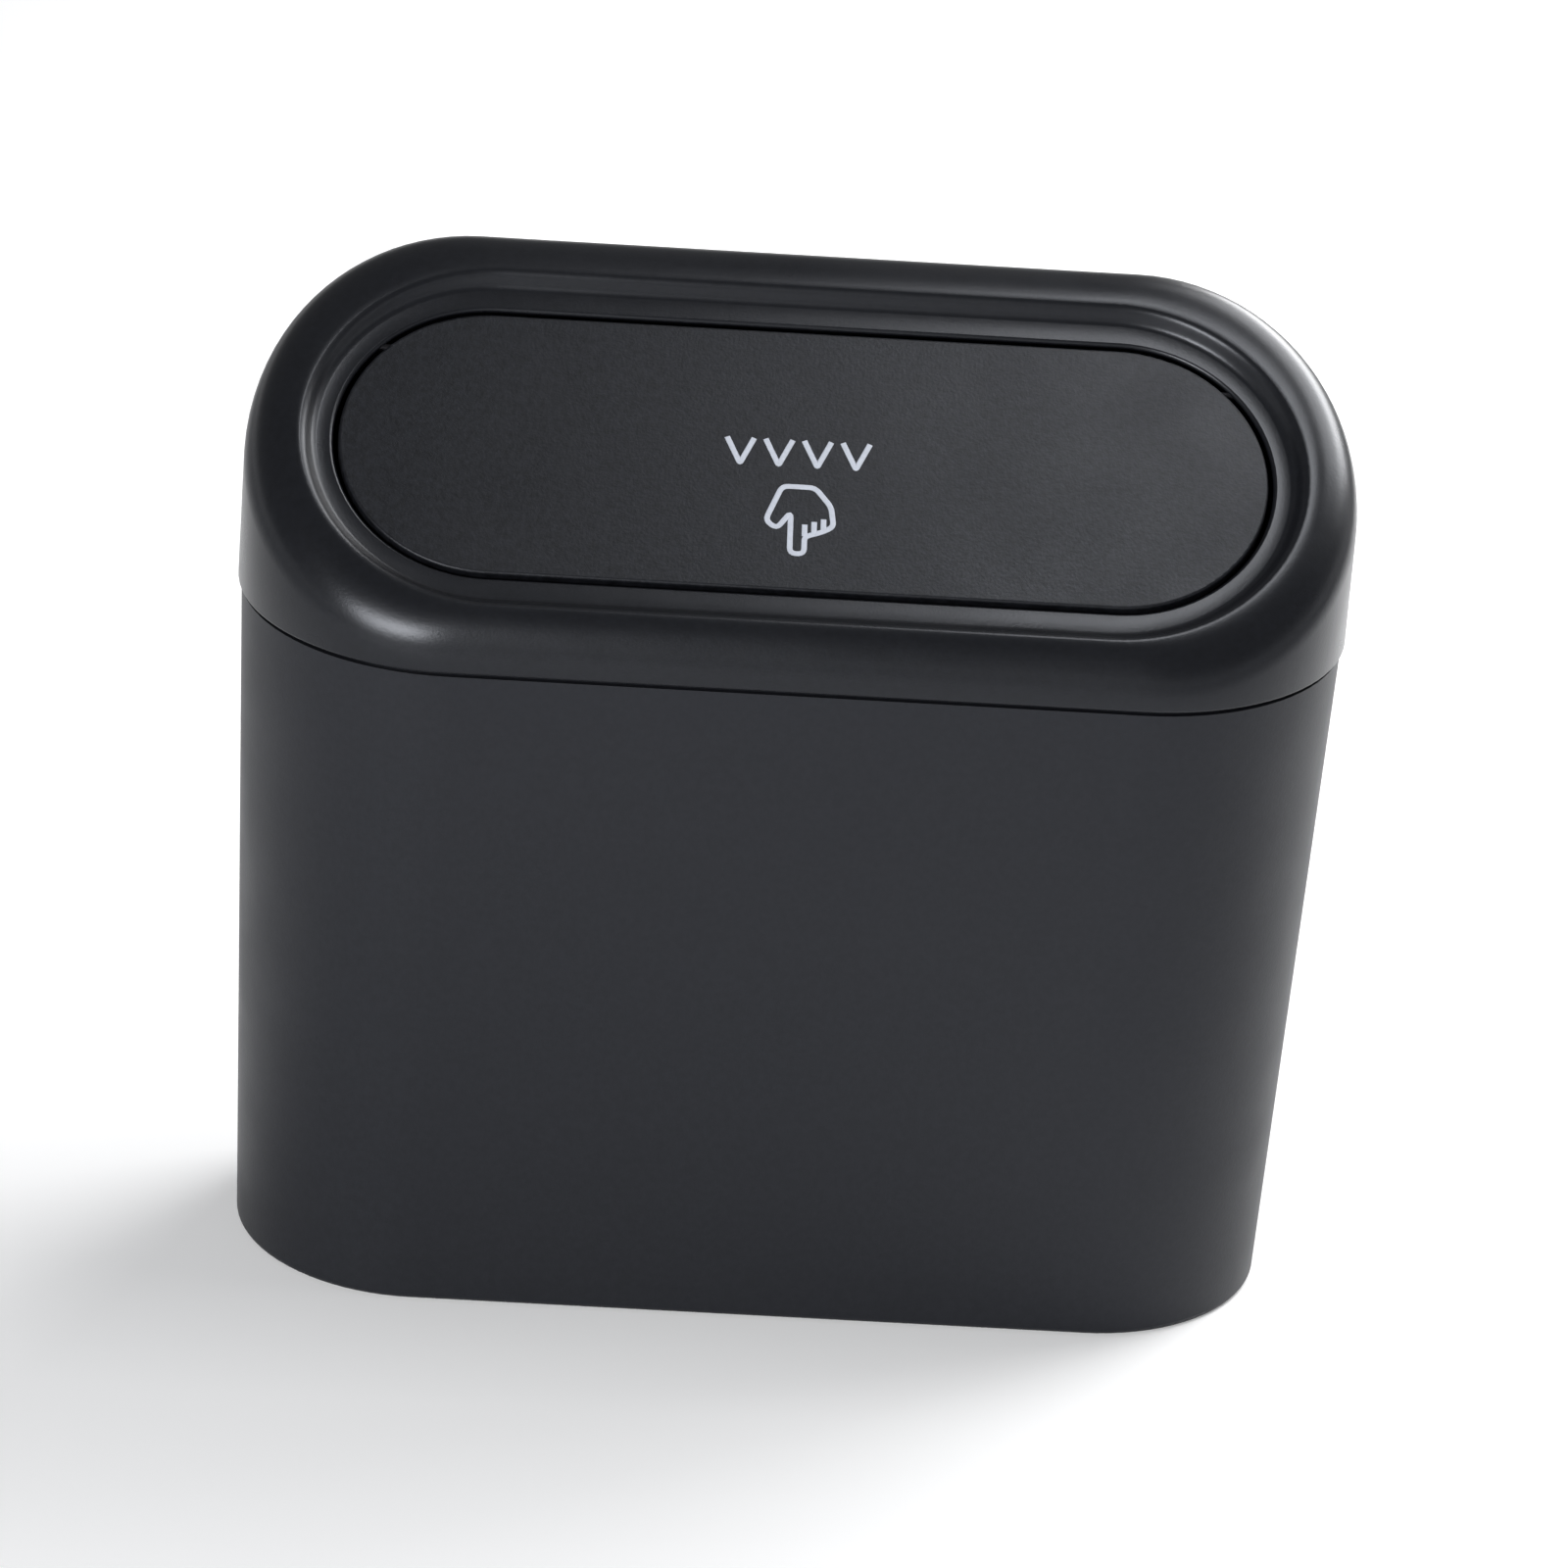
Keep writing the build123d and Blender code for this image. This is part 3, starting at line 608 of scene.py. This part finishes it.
def hinge_spring_points(side):
    """Leg, turns and tail of one torsion spring; side is 1 at the right and -1 at the left."""
    places = [(0, -hinge_leg * (1 - k / leg_steps), -hinge_coil_radius) for k in range(leg_steps)]
    for k in range(hinge_coil_turns * points_per_turn + 1):
        turn = 2 * pi * k / points_per_turn
        places.append((hinge_coil_pitch * k / points_per_turn, hinge_coil_radius * sin(turn),
                       -hinge_coil_radius * cos(turn)))
    tail_reach = hinge_coil_radius - hinge_wire
    for k in range(1, tail_steps + 1):
        turn = pi * k / tail_steps
        swing = (1 - cos(turn)) / 2
        places.append((hinge_coil_length, tail_reach * swing + hinge_wire * sin(turn),
                       -hinge_coil_radius * (1 - swing)))
    places.append((hinge_coil_length, -hinge_pin_radius, 0))
    return [slope_place(side * (hinge_coil_x + x), hinge_s + s, n - hinge_depth).translation
            for x, s, n in places]


spring_steel = streaked_steel("spring_steel", wire_grey, roughness=0.29, streak_size=0.3 * MM, seed=47.0)
for side, name in ((-1, "left"), (1, "right")):
    coil = wire_piece(f"hinge_spring_{name}_wire", hinge_spring_points(side), hinge_wire)
    near_x = side * (hinge_coil_x + hinge_wire / 2)
    far_x = side * (hinge_coil_x + hinge_coil_length - hinge_wire / 2)
    tuple(slope_place(near_x, hinge_s, -hinge_depth).translation)
    tuple(slope_place(far_x, hinge_s, -hinge_depth).translation)
    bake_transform(coil)
    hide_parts(f"hinge_spring_{name}")


# Latch spring
# A compression spring of drawn wire with closed ends, which stands on the latch's cap and pushes the plunger
# up.

latch_s = -13.6 * MM
latch_spring_low = -26.8 * MM
latch_spring_high = -20.7 * MM
latch_wire = 0.6 * MM
latch_coil_radius = 2.2 * MM
latch_coil_turns = 5
latch_open_turns = latch_coil_turns - 2
closed_pitch = latch_wire * 1.05
open_pitch = (latch_spring_high - latch_spring_low - latch_wire - 2 * closed_pitch) / latch_open_turns


def latch_spring_points():
    """Turns of the latch spring: one closed turn at each end and open turns between."""
    places = []
    for k in range(latch_coil_turns * points_per_turn + 1):
        turn = k / points_per_turn
        opened = min(max(turn - 1, 0), latch_open_turns)
        n = latch_spring_low + latch_wire / 2 + closed_pitch * (turn - opened) + open_pitch * opened
        x = latch_coil_radius * cos(2 * pi * turn)
        s = latch_s + latch_coil_radius * sin(2 * pi * turn)
        places.append(slope_place(x, s, n).translation)
    return places


latch_coil = wire_piece("latch_spring_wire", latch_spring_points(), latch_wire)
tuple(slope_place(0, latch_s, latch_spring_low + latch_wire).translation)
tuple(slope_place(0, latch_s, latch_spring_high - latch_wire).translation)
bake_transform(latch_coil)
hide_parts("latch_spring")


# Push latch
# A press-and-release catch under the front ledge: a dark grey housing with a cap on its lower end, held by
# two screws, and a natural white plunger whose two jaws take the striker's head.

natural_white = (0.62, 0.61, 0.57)
plunger_plastic = moulded_plastic("plunger_white", natural_white, roughness=0.42, grain_depth=0.003 * MM,
                                  contrast=0.03, seed=53.0)
paint("latch_housing", latch_plastic)
paint("latch_cap", latch_plastic)
paint("latch_plunger", plunger_plastic)
paint("latch_screws", screw_steel)


# Hook
# A bent strip moulded in the same black as the barrel. It slides down into the two rails on the back wall,
# and its clip drops over the edge of a door pocket.

paint("hook", barrel_plastic)


# Floor and light
# A plain pale floor that runs up to white walls under a dim ceiling. Soft boxes stand at the front left, at
# the back right and above the right end, where the picture has its highlights.

floor_reach = 6.0
floor_grey = (0.8, 0.8, 0.8, 1)
floor_glow = 0.22
white = (1, 1, 1, 1)


def seen_directly(tree):
    """1 for rays from the camera, from a mirror or through glass, and 0 for light that only scatters."""
    ray = tree.nodes.new("ShaderNodeLightPath")
    either = tree.nodes.new("ShaderNodeMath")
    either.operation = "MAXIMUM"
    any_of_three = tree.nodes.new("ShaderNodeMath")
    any_of_three.operation = "MAXIMUM"
    link(tree, ray.outputs["Is Camera Ray"], either.inputs[0])
    link(tree, ray.outputs["Is Glossy Ray"], either.inputs[1])
    link(tree, either.outputs[0], any_of_three.inputs[0])
    link(tree, ray.outputs["Is Transmission Ray"], any_of_three.inputs[1])
    return any_of_three.outputs[0]


def floor_paint(name):
    """Matt pale paint that looks a little brighter to the camera than the light on it makes it."""
    material = bpy.data.materials.new(name)
    material.use_nodes = True
    tree = material.node_tree
    shader = tree.nodes["Principled BSDF"]
    shader.inputs["Base Color"].default_value = floor_grey
    shader.inputs["Roughness"].default_value = 0.9
    shader.inputs["Specular IOR Level"].default_value = 0.1
    shader.inputs["Emission Color"].default_value = white
    glow = tree.nodes.new("ShaderNodeMath")
    glow.operation = "MULTIPLY"
    glow.inputs[1].default_value = floor_glow
    link(tree, seen_directly(tree), glow.inputs[0])
    link(tree, glow.outputs[0], shader.inputs["Emission Strength"])
    return material


def soft_box(name, place, target, width, height, radiance):
    """An area lamp of the given size that faces the target; its power follows from its radiance."""
    lamp = bpy.data.lights.new(name, "AREA")
    lamp.shape = "RECTANGLE"
    lamp.size = width
    lamp.size_y = height
    lamp.energy = radiance * pi * width * height
    box = bpy.data.objects.new(name, lamp)
    box.location = place
    box.rotation_euler = (Vector(target) - Vector(place)).to_track_quat("-Z", "Y").to_euler()
    bpy.context.scene.collection.objects.link(box)


floor_mesh = bpy.data.meshes.new("floor")
floor_corners = [(-floor_reach, -floor_reach, 0), (floor_reach, -floor_reach, 0),
                 (floor_reach, floor_reach, 0), (-floor_reach, floor_reach, 0)]
floor_mesh.from_pydata(floor_corners, [], [(0, 1, 2, 3)])
floor = placed("floor", floor_mesh, floor_paint("floor_paint"))

bin_middle = (0, 0, 0.08)
right_end = (0.12, 0, 0.1)
soft_box("front_left_box", (-0.4, -0.77, 0.35), bin_middle, width=0.4, height=0.2, radiance=24)
soft_box("back_right_box", (0.4, 0.32, 0.5), bin_middle, width=0.46, height=0.4, radiance=6)
soft_box("low_back_box", (0.4, 0.46, 0.333), bin_middle, width=0.5, height=0.2, radiance=10)
soft_box("top_right_box", (0.12, 0, 0.52), right_end, width=0.14, height=0.14, radiance=9)

fill_colour = (0.9, 0.93, 1, 1)
fill_strength = 0.2
wall_top = 0.09
ceiling_start = 0.2
ceiling_strength = 0.22
world = bpy.data.worlds.new("studio_room")
bpy.context.scene.world = world
world.use_nodes = True
room = world.node_tree
fill_light = room.nodes["Background"]
fill_light.inputs["Color"].default_value = fill_colour
fill_light.inputs["Strength"].default_value = fill_strength
direction = room.nodes.new("ShaderNodeTexCoord")
height = room.nodes.new("ShaderNodeSeparateXYZ")
link(room, direction.outputs["Generated"], height.inputs[0])
wall_to_ceiling = room.nodes.new("ShaderNodeMapRange")
wall_to_ceiling.inputs["From Min"].default_value = wall_top
wall_to_ceiling.inputs["From Max"].default_value = ceiling_start
wall_to_ceiling.inputs["To Min"].default_value = 1
wall_to_ceiling.inputs["To Max"].default_value = ceiling_strength
link(room, height.outputs["Z"], wall_to_ceiling.inputs["Value"])
walls = room.nodes.new("ShaderNodeBackground")
walls.inputs["Color"].default_value = white
link(room, wall_to_ceiling.outputs["Result"], walls.inputs["Strength"])
choose = room.nodes.new("ShaderNodeMixShader")
link(room, seen_directly(room), choose.inputs["Fac"])
link(room, fill_light.outputs[0], choose.inputs[1])
link(room, walls.outputs[0], choose.inputs[2])
link(room, choose.outputs[0], room.nodes["World Output"].inputs["Surface"])
bpy.context.scene.view_settings.view_transform = "Standard"


# Camera
# A long lens in front of the bin and above it, a little to the left. The camera is rolled a few degrees, so
# that the bin leans to the right as in the picture.

picture_width = 1600
focal_pixels = 9339.5
sensor_width = 36
camera_distance = 1.3
camera_azimuth = radians(-2.72)
camera_elevation = radians(25.81)
camera_roll = radians(4.37)
aim = Vector((0.7, 0, 72.5)) * MM
forward = Vector((-sin(camera_azimuth) * cos(camera_elevation), cos(camera_azimuth) * cos(camera_elevation),
                  -sin(camera_elevation)))
right = Vector((cos(camera_azimuth), sin(camera_azimuth), 0))
down = forward.cross(right)
picture_x = right * cos(camera_roll) - down * sin(camera_roll)
picture_y = -(right * sin(camera_roll) + down * cos(camera_roll))
lens = bpy.data.cameras.new("camera")
lens.sensor_width = sensor_width
lens.lens = focal_pixels / picture_width * sensor_width
lens.clip_start = 0.05
camera = bpy.data.objects.new("camera", lens)
pose = Matrix((picture_x, picture_y, -forward)).transposed().to_4x4()
pose.translation = aim - forward * camera_distance
camera.matrix_world = pose
bpy.context.scene.collection.objects.link(camera)
bpy.context.scene.camera = camera
